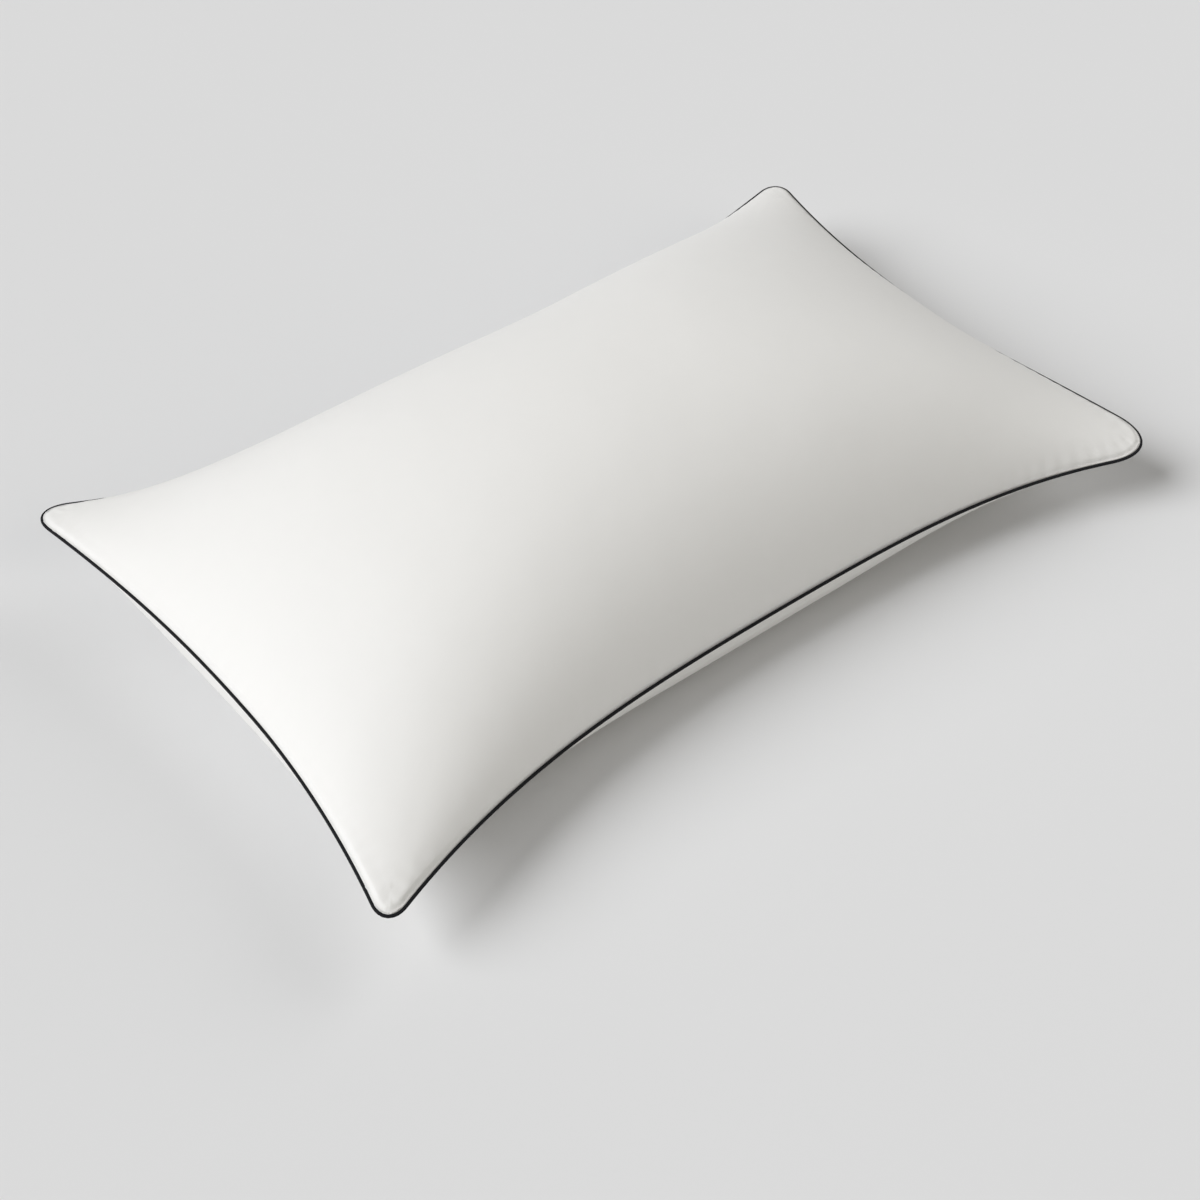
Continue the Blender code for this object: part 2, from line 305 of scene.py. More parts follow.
def object_from(name, bm):
    mesh = bpy.data.meshes.new(name)
    bm.to_mesh(mesh)
    bm.free()
    mesh.shade_smooth()
    obj = bpy.data.objects.new(name, mesh)
    bpy.context.scene.collection.objects.link(obj)
    return obj


def apply_modifiers(obj):
    graph = bpy.context.evaluated_depsgraph_get()
    made = bpy.data.meshes.new_from_object(obj.evaluated_get(graph), depsgraph=graph)
    made.name = obj.data.name
    old = obj.data
    obj.modifiers.clear()
    obj.data = made
    bpy.data.meshes.remove(old)


def thicken(obj, thickness, offset):
    """Gives a sheet its thickness, on its back for an offset of -1 and on both sides for 0."""
    thick = obj.modifiers.new("thickness", "SOLIDIFY")
    thick.thickness = thickness
    thick.offset = offset
    apply_modifiers(obj)


def lay_uv(bm, faces, half_length, half_width, shift=0.0):
    """UV in metres of flat cloth, read from grid vertices that still run from -1 to 1."""
    layer = bm.loops.layers.uv.verify()
    for face in faces:
        for loop in face.loops:
            x, y = loop.vert.co.x, loop.vert.co.y
            loop[layer].uv = (x * half_length, y * half_width + shift)


def swept(name, line, section):
    """A mesh that carries a cross-section of (out, up) points once round the seam line."""
    bm = bmesh.new()
    turns = len(section)
    bmesh.ops.create_grid(bm, x_segments=line.count, y_segments=turns, size=1.0)
    layer = bm.loops.layers.uv.verify()
    step = line.length / line.count
    girth = [0.0]
    for first, second in zip(section, section[1:] + section[:1]):
        girth.append(girth[-1] + hypot(second[0] - first[0], second[1] - first[1]))
    spots = {}
    for vertex in bm.verts:
        along = round((vertex.co.x + 1) / 2 * line.count)
        around = round((vertex.co.y + 1) / 2 * turns)
        spots[vertex] = along, around
    for face in bm.faces:
        for loop in face.loops:
            along, around = spots[loop.vert]
            loop[layer].uv = (along * step, girth[around])
    for vertex, (along, around) in spots.items():
        out, up = section[around % turns]
        vertex.co = line.at(along, out, up)
    bmesh.ops.remove_doubles(bm, verts=bm.verts, dist=SAME)
    bmesh.ops.recalc_face_normals(bm, faces=bm.faces)
    return object_from(name, bm)


# --- Shader maths --------------------------------------------------------------------------------


class Value:
    """A number socket of a finish. Python's operators on it add Math nodes."""

    def __init__(self, finish, socket):
        self.finish, self.socket = finish, socket

    def __add__(self, other):
        return self.finish.math("ADD", self, other)

    def __mul__(self, other):
        return self.finish.math("MULTIPLY", self, other)

    def __radd__(self, other):
        return self.finish.math("ADD", other, self)

    def __rmul__(self, other):
        return self.finish.math("MULTIPLY", other, self)


class Finish:
    """One procedural material and the few kinds of node that it is built from."""

    def __init__(self, name):
        self.material = bpy.data.materials.new(name)
        self.material.use_nodes = True
        self.tree = self.material.node_tree
        self.shader = self.tree.nodes["Principled BSDF"]

    def node(self, kind, settings=None, values=None):
        """Adds a node, sets its settings and then the values or links of its sockets."""
        made = self.tree.nodes.new(kind)
        for key, value in (settings or {}).items():
            setattr(made, key, value)
        for key, value in (values or {}).items():
            self.feed(made.inputs[key], value)
        return made

    def feed(self, socket, value):
        if isinstance(value, Value):
            value = value.socket
        if isinstance(value, bpy.types.NodeSocket):
            self.tree.links.new(value, socket)
        else:
            socket.default_value = value

    def math(self, operation, *terms):
        made = self.node("ShaderNodeMath", {"operation": operation}, dict(enumerate(terms)))
        return Value(self, made.outputs[0])

    def number(self, socket):
        return Value(self, socket)

    def blend(self, factor, first, second):
        made = self.node("ShaderNodeMix", {"data_type": "RGBA"})
        self.feed(made.inputs[0], factor)
        self.feed(made.inputs[6], first)
        self.feed(made.inputs[7], second)
        return made.outputs[2]

    def noise(self, vector, scale, detail=2.0, roughness=0.5):
        values = {"Vector": vector, "Scale": scale, "Detail": detail, "Roughness": roughness}
        return self.number(self.node("ShaderNodeTexNoise", {}, values).outputs["Fac"])

    def spots(self, vector, scale):
        values = {"Vector": vector, "Scale": scale}
        return self.number(self.node("ShaderNodeTexVoronoi", {}, values).outputs["Distance"])

    def place(self, socket_name="Object", turn=0.0, scale=(1.0, 1.0, 1.0)):
        source = self.node("ShaderNodeTexCoord").outputs[socket_name]
        values = {"Vector": source, "Rotation": (0.0, 0.0, turn), "Scale": scale}
        return self.node("ShaderNodeMapping", {}, values).outputs["Vector"]

    def axes(self, vector):
        parts = self.node("ShaderNodeSeparateXYZ", {}, {"Vector": vector}).outputs
        return self.number(parts[0]), self.number(parts[1]), self.number(parts[2])

    def bump(self, height, distance, strength=1.0, under=None):
        values = {"Height": height, "Distance": distance, "Strength": strength}
        if under is not None:
            values["Normal"] = under
        return self.node("ShaderNodeBump", {}, values).outputs["Normal"]

    def threads(self, position, pitch):
        """Rounded ridges, one each pitch along a position in metres: 1 on top and 0 between."""
        wave = self.math("SINE", position * (2 * pi / pitch))
        return wave * 0.5 + 0.5

    def surface(self, **values):
        for key, value in values.items():
            self.feed(self.shader.inputs[key.replace("_", " ")], value)
        return self.material


def shade(colour, factor):
    return (*[min(c * factor, 1.0) for c in colour], 1.0)


def sateen(colour):
    """Sateen: warp floats in fine diagonal steps, a soft sheen and slightly uneven yarns."""
    finish = Finish("cotton_sateen")
    uv = finish.place("UV")
    along, across, _ = finish.axes(uv)
    body = finish.place("Object")
    pitch = 0.32 * MM
    warp = finish.threads(across, pitch)
    twill = finish.threads(along + across * 0.25, 5 * pitch)
    weft = finish.threads(along, pitch * 1.15)
    weave = warp * 0.65 + weft * warp * 0.2 + twill * 0.15
    stretched = finish.place("UV", scale=(40.0, 900.0, 1.0))
    slubs = finish.noise(stretched, 1.0, 3.0, 0.6)
    crossed = finish.place("UV", scale=(700.0, 60.0, 1.0))
    slubs_weft = finish.noise(crossed, 1.0, 2.0, 0.5)
    cloud = finish.noise(body, 9.0, 3.0, 0.55)
    mottle = finish.noise(body, 65.0, 3.0, 0.6)
    tone = cloud * 0.45 + mottle * 0.3 + slubs * 0.25
    base = finish.blend(tone, shade(colour, 0.975), shade(colour, 1.02))
    coarse = finish.bump(mottle * 0.7 + cloud * 0.3, 0.55 * MM, 0.5)
    yarn = finish.bump(slubs * 0.6 + slubs_weft * 0.4, 0.06 * MM, 0.5, coarse)
    normal = finish.bump(weave, 0.05 * MM, 0.5, yarn)
    return finish.surface(
        Base_Color=base,
        Roughness=0.54 + slubs * 0.12,
        Normal=normal,
        Sheen_Weight=0.12,
        Sheen_Roughness=0.45,
        Specular_IOR_Level=0.35,
    )


def bias_cotton(colour):
    """Black plain weave, cut on the bias: the threads cross the piping at 45 degrees."""
    finish = Finish("bias_cotton")
    uv = finish.place("UV", turn=pi / 4)
    first, second, _ = finish.axes(uv)
    pitch = 0.28 * MM
    weave = finish.threads(first, pitch) * 0.5 + finish.threads(second, pitch) * 0.5
    lint = finish.noise(finish.place("UV"), 5200.0, 2.0, 0.6)
    wear = finish.noise(finish.place("UV", scale=(90.0, 240.0, 1.0)), 1.0, 3.0, 0.6)
    base = finish.blend(lint * 0.5 + wear * 0.5, shade(colour, 0.6), shade(colour, 1.7))
    along, _, _ = finish.axes(finish.place("UV"))
    twist = finish.threads(along, 2.4 * MM)
    swell = finish.bump(twist, 0.05 * MM, 0.25)
    normal = finish.bump(weave, 0.05 * MM, 0.7, swell)
    return finish.surface(
        Base_Color=base,
        Roughness=0.70 + weave * 0.12,
        Normal=normal,
        Sheen_Weight=0.02,
        Sheen_Roughness=0.5,
        Specular_IOR_Level=0.2,
    )


def spun_thread(colour):
    """Sewing thread: two plies twisted together."""
    finish = Finish("sewing_thread")
    body = finish.place("Object")
    x, y, z = finish.axes(body)
    plies = finish.threads(x + y * 0.7 + z * 0.5, 0.5 * MM)
    fuzz = finish.noise(body, 4000.0)
    base = finish.blend(plies * 0.6 + fuzz * 0.4, shade(colour, 0.86), shade(colour, 1.04))
    return finish.surface(
        Base_Color=base,
        Roughness=0.5 + fuzz * 0.15,
        Normal=finish.bump(plies, 0.05 * MM, 0.6),
        Sheen_Weight=0.1,
    )


def cord_yarn(colour):
    """Undyed cotton cord: coarse twisted yarns."""
    finish = Finish("cord_yarn")
    body = finish.place("Object")
    x, y, z = finish.axes(body)
    twist = finish.threads(x + y + z * 2.0, 1.6 * MM)
    fibres = finish.noise(body, 2600.0, 4.0, 0.7)
    base = finish.blend(twist * 0.5 + fibres * 0.5, shade(colour, 0.8), shade(colour, 1.06))
    return finish.surface(
        Base_Color=base,
        Roughness=0.85 + fibres * 0.1,
        Normal=finish.bump(twist + fibres, 0.2 * MM, 0.7),
    )


def loose_fibre(colour):
    """Filling: a soft mass of fine fibres and small tufts."""
    finish = Finish("loose_fibre")
    body = finish.place("Object")
    tufts = finish.spots(body, 60.0)
    fibres = finish.noise(body, 700.0, 6.0, 0.75)
    base = finish.blend(tufts * 0.5 + fibres * 0.5, shade(colour, 0.86), shade(colour, 1.05))
    return finish.surface(
        Base_Color=base,
        Roughness=0.9 + fibres * 0.08,
        Normal=finish.bump(tufts * 0.6 + fibres * 0.4, 1.2 * MM, 0.8),
        Sheen_Weight=0.3,
    )


def satin_tape(colour):
    """Blank label tape: a shiny satin face with fine cross ribs."""
    finish = Finish("satin_tape")
    along, across, _ = finish.axes(finish.place("UV"))
    ribs = finish.threads(along, 0.22 * MM)
    floats = finish.threads(across, 0.16 * MM)
    streaks = finish.noise(finish.place("UV", scale=(60.0, 1500.0, 1.0)), 1.0, 2.0, 0.5)
    base = finish.blend(streaks, shade(colour, 0.95), shade(colour, 1.03))
    return finish.surface(
        Base_Color=base,
        Roughness=0.34 + streaks * 0.12,
        Normal=finish.bump(ribs * 0.6 + floats * 0.4, 0.03 * MM, 0.6),
        Sheen_Weight=0.1,
    )


def studio_floor(colour):
    """Seamless paper: nearly even, with a very faint mottling."""
    finish = Finish("studio_paper")
    body = finish.place("Object")
    cloud = finish.noise(body, 1.7, 2.0, 0.5)
    grain = finish.noise(body, 420.0, 2.0, 0.5)
    base = finish.blend(cloud * 0.8 + grain * 0.2, shade(colour, 0.985), shade(colour, 1.015))
    return finish.surface(Base_Color=base, Roughness=0.85 + grain * 0.1, Specular_IOR_Level=0.2)


# --- Settings ------------------------------------------------------------------------------------


class PillowSizes(bpy.types.PropertyGroup):
    crown: FloatProperty(
        name="Crown",
        description="Height of the top over the seam's surface before the cloth is inflated",
        default=0.0991,
        unit="LENGTH",
    )
    belly: FloatProperty(
        name="Belly",
        description="Depth of the underside below the seam before it meets the floor",
        default=0.0679,
        unit="LENGTH",
    )
    edge_roll: FloatProperty(
        name="Edge roll",
        description="How steeply the cloth rises right beside the piping",
        default=0.0058,
        unit="LENGTH",
    )
    corner_roll: FloatProperty(
        name="Corner roll",
        description="How steeply the cloth rises beside the piping at the corners",
        default=0.0040,
        unit="LENGTH",
    )
    cloth: FloatProperty(
        name="Cloth thickness",
        description="Thickness of the shell cloth",
        default=0.0003,
        unit="LENGTH",
    )
    pressure: FloatProperty(
        name="Fill pressure",
        description="Pressure of the fill on the cloth in the inflation",
        default=3.0,
    )
    frames: IntProperty(
        name="Inflation steps",
        description="Steps that the cloth takes to fill out",
        default=22,
    )
    move_limit: FloatProperty(
        name="Movement limit",
        description="Furthest that inflation may move a point of the cloth",
        default=0.014,
        unit="LENGTH",
    )
    lumps: FloatProperty(
        name="Fill lumps",
        description="Height of the soft unevenness that the fill gives the cloth",
        default=0.0007,
        unit="LENGTH",
    )
    puckers: FloatProperty(
        name="Seam puckers",
        description="Height of the small gathers beside the piping",
        default=0.00025,
        unit="LENGTH",
    )


class PillowColours(bpy.types.PropertyGroup):
    shell: FloatVectorProperty(
        name="Shell",
        description="Colour of the sateen",
        default=(0.832, 0.823, 0.800),
        subtype="COLOR",
        min=0.0,
        max=1.0,
    )
    piping: FloatVectorProperty(
        name="Piping",
        description="Colour of the piping cloth",
        default=(0.006, 0.006, 0.008),
        subtype="COLOR",
        min=0.0,
        max=1.0,
    )
    cord: FloatVectorProperty(
        name="Cord",
        description="Colour of the undyed cord",
        default=(0.72, 0.68, 0.60),
        subtype="COLOR",
        min=0.0,
        max=1.0,
    )
    thread: FloatVectorProperty(
        name="Thread",
        description="Colour of the sewing thread",
        default=(0.82, 0.81, 0.79),
        subtype="COLOR",
        min=0.0,
        max=1.0,
    )
    fibre: FloatVectorProperty(
        name="Fibre",
        description="Colour of the filling",
        default=(0.86, 0.85, 0.83),
        subtype="COLOR",
        min=0.0,
        max=1.0,
    )
    label: FloatVectorProperty(
        name="Label",
        description="Colour of the label tape",
        default=(0.85, 0.85, 0.84),
        subtype="COLOR",
        min=0.0,
        max=1.0,
    )
    floor: FloatVectorProperty(
        name="Floor",
        description="Colour of the studio floor",
        default=(0.74, 0.74, 0.74),
        subtype="COLOR",
        min=0.0,
        max=1.0,
    )


# --- The shell -----------------------------------------------------------------------------------

TOP, BOTTOM = 0, 1

# Grid cells of the blank along and across, and its lowest level before the inflation.
CELLS = (132, 88)
BLANK_LEVEL = 2 * MM

# How far above its lowest point the settling cloth still moves, and how far it goes down past
# the floor's level, so that it lies flat.
SETTLE_REACH = 0.025
SETTLE_PRESS = 0.3 * MM

# The cloth leaves the seam flat and has its full rise a few times LEDGE away from it, and its
# fold stands FOLD_OUT outside the stitching.
LEDGE = 1.2 * MM
FOLD_OUT = 0.85 * MM

# Distances from the seam: where the fold's level fades out, where its outward move does, where
# the gathers start and fade out, and where the fill's lumps are full.
FOLD_REACH = 0.012
FOLD_OUT_REACH = 3 * MM
GATHER_START, GATHER_REACH = 0.004, 0.022
LUMP_START = 0.06

# The fill's lumps: how often each kind comes in a metre, and its share of the height.
LUMP_SCALES = ((11.0, 0.6), (24.0, 0.3), (55.0, 0.12))

# Distance from one gather beside the seam to the next.
GATHER_PITCH = 0.013

# Over this height above the floor the underside's unevenness comes in.
FLOOR_REACH = 0.008


def pillow_blank(sizes):
    """The pillow's cloth before inflation: an upper and a lower grid joined at the seam line."""
    bm = bmesh.new()
    pins = bm.verts.layers.deform.verify()
    for side in (TOP, BOTTOM):
        along, across = CELLS
        grid = bmesh.ops.create_grid(bm, x_segments=along, y_segments=across, size=1.0)["verts"]
        faces = list({face for vertex in grid for face in vertex.link_faces})
        lay_uv(bm, faces, HALF_LENGTH, HALF_WIDTH, 2 * HALF_WIDTH * side)
        if side == BOTTOM:
            bmesh.ops.reverse_faces(bm, faces=faces)
        for face in faces:
            face.material_index = side
        for vertex in grid:
            unit, rim, ring = place(vertex.co.x, vertex.co.y)
            level = seam_height(*unit)
            if side == TOP:
                level += bulge(unit, rim, ring, sizes.crown, CROWN_FORM, sizes)
            else:
                level -= bulge(unit, rim, ring, sizes.belly, BELLY_FORM, sizes)
            vertex.co = (*plan(*unit), max(level, BLANK_LEVEL))
            if ring > 1 - SAME:
                vertex[pins][0] = 1.0
    bmesh.ops.remove_doubles(bm, verts=bm.verts, dist=SAME)
    blank = object_from("pillow_blank", bm)
    blank.vertex_groups.new(name="seam")
    blank.data.materials.append(None)
    blank.data.materials.append(None)
    return blank


def inflate(blank, sizes):
    """Cloth simulation: the fill's pressure rounds the cloth out from the pinned seam."""
    rest = [vertex.co.copy() for vertex in blank.data.vertices]
    bm = bmesh.new()
    bmesh.ops.create_grid(bm, x_segments=1, y_segments=1, size=1.0)
    ground = object_from("ground", bm)
    ground.modifiers.new("ground", "COLLISION")
    ground.collision.thickness_outer = MM
    cloth = blank.modifiers.new("inflation", "CLOTH")
    settings = cloth.settings
    settings.quality = 7
    settings.mass = 0.2
    settings.tension_stiffness = 25
    settings.compression_stiffness = 25
    settings.shear_stiffness = 12
    settings.bending_stiffness = 2.0
    settings.tension_damping = 12
    settings.compression_damping = 12
    settings.shear_damping = 12
    settings.air_damping = 4
    settings.vertex_group_mass = "seam"
    settings.use_pressure = True
    settings.uniform_pressure_force = sizes.pressure
    settings.effector_weights.gravity = 0.0
    cloth.collision_settings.use_collision = True
    cloth.collision_settings.distance_min = MM
    cloth.collision_settings.use_self_collision = False
    scene = bpy.context.scene
    scene.frame_start, scene.frame_end = 1, sizes.frames
    cloth.point_cache.frame_start, cloth.point_cache.frame_end = 1, sizes.frames
    for step in range(1, sizes.frames + 1):
        scene.frame_set(step)
    apply_modifiers(blank)
    scene.frame_set(1)
    bpy.data.objects.remove(ground)
    for vertex, start in zip(blank.data.vertices, rest):
        moved = vertex.co - start
        if moved.length > sizes.move_limit:
            vertex.co = start + moved * (sizes.move_limit / moved.length)


def settle(blank):
    """Lets the underside down onto the floor, where it lies flat. The sides above stay put."""
    lowest = min(vertex.co.z for vertex in blank.data.vertices)
    drop = lowest + SETTLE_PRESS
    for vertex in blank.data.vertices:
        share = 1 - smooth((vertex.co.z - lowest) / SETTLE_REACH)
        vertex.co.z = max(vertex.co.z - drop * share, 0.0)


def relief(point, away, sizes):
    """How far the fill's lumps lift the cloth at a point that is away from the seam."""
    lumps = sum(noise.noise(point * scale) * share for scale, share in LUMP_SCALES)
    return sizes.lumps * lumps * smooth(away / LUMP_START)


def ledge(away):
    """Share of its rise that the cloth keeps near the seam, which it leaves flat."""
    return smooth((away - 0.4 * LEDGE) / (3 * LEDGE))


def gathers(number, line):
    """Uneven small waves along the seam, between -1 and 1."""
    distance = number * line.length / line.count
    spread = noise.noise(Vector((distance * 9.0, 4.0, 0.0)))
    drift = 1.2 * noise.noise(Vector((distance * 14.0, 0.0, 0.0)))
    phase = 2 * pi * (distance / GATHER_PITCH + drift)
    return sin(phase) * (0.6 + 0.8 * spread)


def cut_panel(blank, name, side):
    """One half of the inflated form, on a finer grid."""
    bm = bmesh.new()
    bm.from_mesh(blank.data)
    other = [face for face in bm.faces if face.material_index != side]
    bmesh.ops.delete(bm, geom=other, context="FACES")
    panel = object_from(name, bm)
    finer = panel.modifiers.new("finer", "SUBSURF")
    finer.levels = finer.render_levels = 1
    finer.uv_smooth = "NONE"
    apply_modifiers(panel)
    return panel


def panel_move(vertex, side, fold, sizes, line, seam):
    """Levels a point beside the seam, and says how far lumps, gathers and fold then move it."""
    away, number = seam.nearest(vertex.co)
    vertex.co.z = mix(line.at(number).z, vertex.co.z, ledge(away))
    gather = gathers(number, line) * sizes.puckers
    gather *= smooth(away / GATHER_START)
    gather *= 1 - smooth((away - GATHER_START) / GATHER_REACH)
    near_floor = smooth(vertex.co.z / FLOOR_REACH) if side == BOTTOM else 1.0
    move = vertex.normal * (relief(vertex.co, away, sizes) + gather) * near_floor
    move += Vector((0, 0, fold)) * (1 - smooth(away / FOLD_REACH))
    outward = line.at(number, 1.0) - line.at(number)
    return move + outward * FOLD_OUT * (1 - smooth(away / FOLD_OUT_REACH))


def panel_from(blank, name, side, sizes, line):
    """One shell panel: cut from the inflated form, textured, and folded in at the seam."""
    panel = cut_panel(blank, name, side)
    seam = SeamTree(line)
    up, fold = (1, FOLD_ABOVE) if side == TOP else (-1, -FOLD_BELOW)
    bm = bmesh.new()
    bm.from_mesh(panel.data)
    bm.normal_update()
    moves = {}
    for vertex in bm.verts:
        moves[vertex] = panel_move(vertex, side, fold, sizes, line, seam)
    for vertex, move in moves.items():
        if vertex.is_boundary:
            vertex.co = line.at(seam.nearest(vertex.co)[1], FOLD_OUT, fold)
        else:
            vertex.co += move
            vertex.co.z = max(vertex.co.z, 0.0)
    rim = [edge for edge in bm.edges if edge.is_boundary]
    inner = bmesh.ops.extrude_edge_only(bm, edges=rim)["geom"]
    for vertex in [element for element in inner if isinstance(element, bmesh.types.BMVert)]:
        vertex.co = line.at(seam.nearest(vertex.co)[1], -ALLOWANCE, fold)
    bmesh.ops.recalc_face_normals(bm, faces=bm.faces)
    middle = min(bm.faces, key=lambda face: face.calc_center_median().xy.length)
    if middle.normal.z * up < 0:
        bmesh.ops.reverse_faces(bm, faces=bm.faces)
    bm.to_mesh(panel.data)
    bm.free()
    panel.data.shade_smooth()
    thicken(panel, sizes.cloth, -1)
    return panel


# The filling: its gap to the cloth, the height of its tufts and how often they come in a metre,
# how far from the seam it narrows, where it ends inside the seam and its lowest level.
FILL_GAP = 2.4 * MM
TUFT_HEIGHT, TUFT_SCALE = 0.8 * MM, 40.0
FILL_SEAM_REACH = 0.022
FILL_EDGE = 0.020
FILL_LOWEST = 1.2 * MM


def fill_from(blank, line):
    """The filling: the inflated form, drawn in from the cloth, with loose tufts on it."""
    bm = bmesh.new()
    bm.from_mesh(blank.data)
    bm.normal_update()
    seam = SeamTree(line)
    moves = {}
    for vertex in bm.verts:
        away, number = seam.nearest(vertex.co)
        inward = FILL_GAP + TUFT_HEIGHT * noise.noise(vertex.co * TUFT_SCALE)
        moves[vertex] = vertex.co - vertex.normal * inward
        pull = smooth((FILL_SEAM_REACH - away) / FILL_SEAM_REACH)
        moves[vertex] = moves[vertex].lerp(line.at(number, -FILL_EDGE), pull)
    for vertex, target in moves.items():
        vertex.co = target
        vertex.co.z = max(vertex.co.z, FILL_LOWEST)
    axes = {"use_axis_x": True, "use_axis_y": True, "use_axis_z": True}
    bmesh.ops.smooth_vert(bm, verts=bm.verts, factor=0.5, **axes)
    for face in bm.faces:
        face.material_index = 0
    return object_from("fill_mass", bm)


class PILLOW_OT_shell(bpy.types.Operator):
    """Inflate the cloth and make the two shell panels and the filling."""

    bl_idname = "pillow.shell"
    bl_label = "Shell and fill"

    def execute(self, context):
        sizes, colours = context.scene.pillow_sizes, context.scene.pillow_colours
        line = SeamLine(SEAM_STEP)
        blank = pillow_blank(sizes)
        inflate(blank, sizes)
        settle(blank)
        top = panel_from(blank, "top_panel", TOP, sizes, line)
        bottom = panel_from(blank, "bottom_panel", BOTTOM, sizes, line)
        fill = fill_from(blank, line)
        bpy.data.objects.remove(blank)
        cloth = sateen(colours.shell)
        finish_piece(top, ["shell_top_panel"], cloth)
        finish_piece(bottom, ["shell_bottom_panel"], cloth)
        finish_piece(fill, ["fill"], loose_fibre(colours.fibre))
        return {"FINISHED"}


# --- Piping --------------------------------------------------------------------------------------

# Steps round the strip's outside and inside.
OUTER_STEPS, INNER_STEPS = 16, 10


def cover_section():
    """The strip wrapped round the cord, with its two edges running on into the seam."""
    outline = [(-ALLOWANCE, FLANGE_OUTER)]
    start_outer = pi - FLANGE_OUTER / COVER_OUTER
    start_inner = pi - FLANGE_INNER / COVER_INNER
    for step in range(OUTER_STEPS + 1):
        angle = mix(start_outer, -start_outer, step / OUTER_STEPS)
        outline.append((PIPING_OFFSET + COVER_OUTER * cos(angle), COVER_OUTER * sin(angle)))
    outline += [(-ALLOWANCE, -FLANGE_OUTER), (-ALLOWANCE, -FLANGE_INNER)]
    for step in range(INNER_STEPS + 1):
        angle = mix(-start_inner, start_inner, step / INNER_STEPS)
        outline.append((PIPING_OFFSET + COVER_INNER * cos(angle), COVER_INNER * sin(angle)))
    outline.append((-ALLOWANCE, FLANGE_INNER))
    return outline


class PILLOW_OT_piping(bpy.types.Operator):
    """Wrap the bias strip round the cord, all round the seam."""

    bl_idname = "pillow.piping"
    bl_label = "Piping"

    def execute(self, context):
        line = SeamLine(SEAM_STEP)
        low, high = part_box("piping_cord")
        ahead = max(point.x + PIPING_OFFSET for point in line.points)
        if not low.z < line.points[0].z < high.z or abs(ahead - high.x) > MM:
            raise RuntimeError("the seam line has left the frame's piping cord")
        cover = swept("piping", line, cover_section())
        cloth = bias_cotton(context.scene.pillow_colours.piping)
        finish_piece(cover, ["piping_cover"], cloth)
        return {"FINISHED"}


# --- Seams and label -----------------------------------------------------------------------------

# The row of closing stitches, and how many fine steps each stitch slants along the seam.
CLOSING_LENGTH = 0.180
STITCH_PITCH = 0.005
STITCH_SLANT = 2
THREAD_RADIUS = 0.15 * MM

# Where a closing stitch leaves the bottom panel and goes into the piping: (out, up).
STITCH_LOW = (0.6 * MM, -FOLD_BELOW - 0.9 * MM)
STITCH_HIGH = (PIPING_OFFSET - 0.1 * MM, -COVER_OUTER - 0.1 * MM)


class PILLOW_OT_stitches(bpy.types.Operator):
    """Make the row of closing stitches under the piping of the back side."""

    bl_idname = "pillow.stitches"
    bl_label = "Closing stitches"

    def execute(self, context):
        line = SeamLine(FINE_STEP)
        bm = bmesh.new()
        middle = line.back_number(0.0)
        count = round(CLOSING_LENGTH / STITCH_PITCH)
        for stitch in range(count):
            number = middle + round((stitch - (count - 1) / 2) * STITCH_PITCH / FINE_STEP)
            high = line.at(number + STITCH_SLANT, *STITCH_HIGH)
            add_stitch(bm, line.at(number, *STITCH_LOW), high)
        if not bm.verts:
            raise RuntimeError("the closing seam has no stitches")
        piece = object_from("closing_stitches", bm)
        thread = spun_thread(context.scene.pillow_colours.thread)
        finish_piece(piece, ["closing_thread"], thread)
        return {"FINISHED"}


def add_stitch(bm, start, end):
    """One small stitch: a short thread, tapered where it goes into the cloth."""
    run = end - start
    turn = run.to_track_quat("Z", "Y").to_matrix().to_4x4()
    made = bmesh.ops.create_uvsphere(bm, u_segments=8, v_segments=6, radius=THREAD_RADIUS)["verts"]
    stretch = (run.length / 2 + THREAD_RADIUS) / THREAD_RADIUS
    bmesh.ops.scale(bm, vec=(1.0, 1.0, stretch), verts=made)
    bmesh.ops.transform(bm, matrix=Matrix.Translation((start + end) / 2) @ turn, verts=made)


# The label: its place along the back seam, its width, the flat length of each half, the tape's
# thickness and half the room between the two halves.
LABEL_X = 0.190
LABEL_WIDTH = 0.025
LABEL_HALF = 0.033
LABEL_TAPE = 0.18 * MM
LABEL_LANE = 0.22 * MM

# Grid cells along each half and across, how suddenly the tape turns in its fold, how far its
# middle curls, and how many fine steps to each side give it its direction.
LABEL_CELLS = (40, 12)
LABEL_TURN = 12
LABEL_CURL = 0.5 * MM
LABEL_REACH = 6


class PILLOW_OT_label(bpy.types.Operator):
    """Make the blank folded care label that hangs from the back seam."""

    bl_idname = "pillow.label"
    bl_label = "Care label"

    def execute(self, context):
        _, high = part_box("care_label")
        if high.y < HALF_WIDTH / 2:
            raise RuntimeError("the care label isn't on the back seam")
        line = SeamLine(FINE_STEP)
        number = line.back_number(LABEL_X)
        root, out = line.points[number], line.outward[number]
        along = line.points[number - LABEL_REACH] - line.points[number + LABEL_REACH]
        label = label_mesh(root, out, along.normalized())
        tape = satin_tape(context.scene.pillow_colours.label)
        finish_piece(label, ["care_label"], tape)
        return {"FINISHED"}


def label_route():
    """Side view of the label's middle line: (out, up) from the stitching, root to fold."""
    return [
        (-4.2 * MM, -1.45 * MM),
        (0.3 * MM, -1.45 * MM),
        (1.2 * MM, -2.0 * MM),
        (2.3 * MM, -2.7 * MM),
        (5.0 * MM, -3.1 * MM),
        (8.5 * MM, -4.8 * MM),
        (13.0 * MM, -9.2 * MM),
        (16.5 * MM, -14.7 * MM),
        (19.0 * MM, -20.7 * MM),
        (20.5 * MM, -25.5 * MM),
    ]


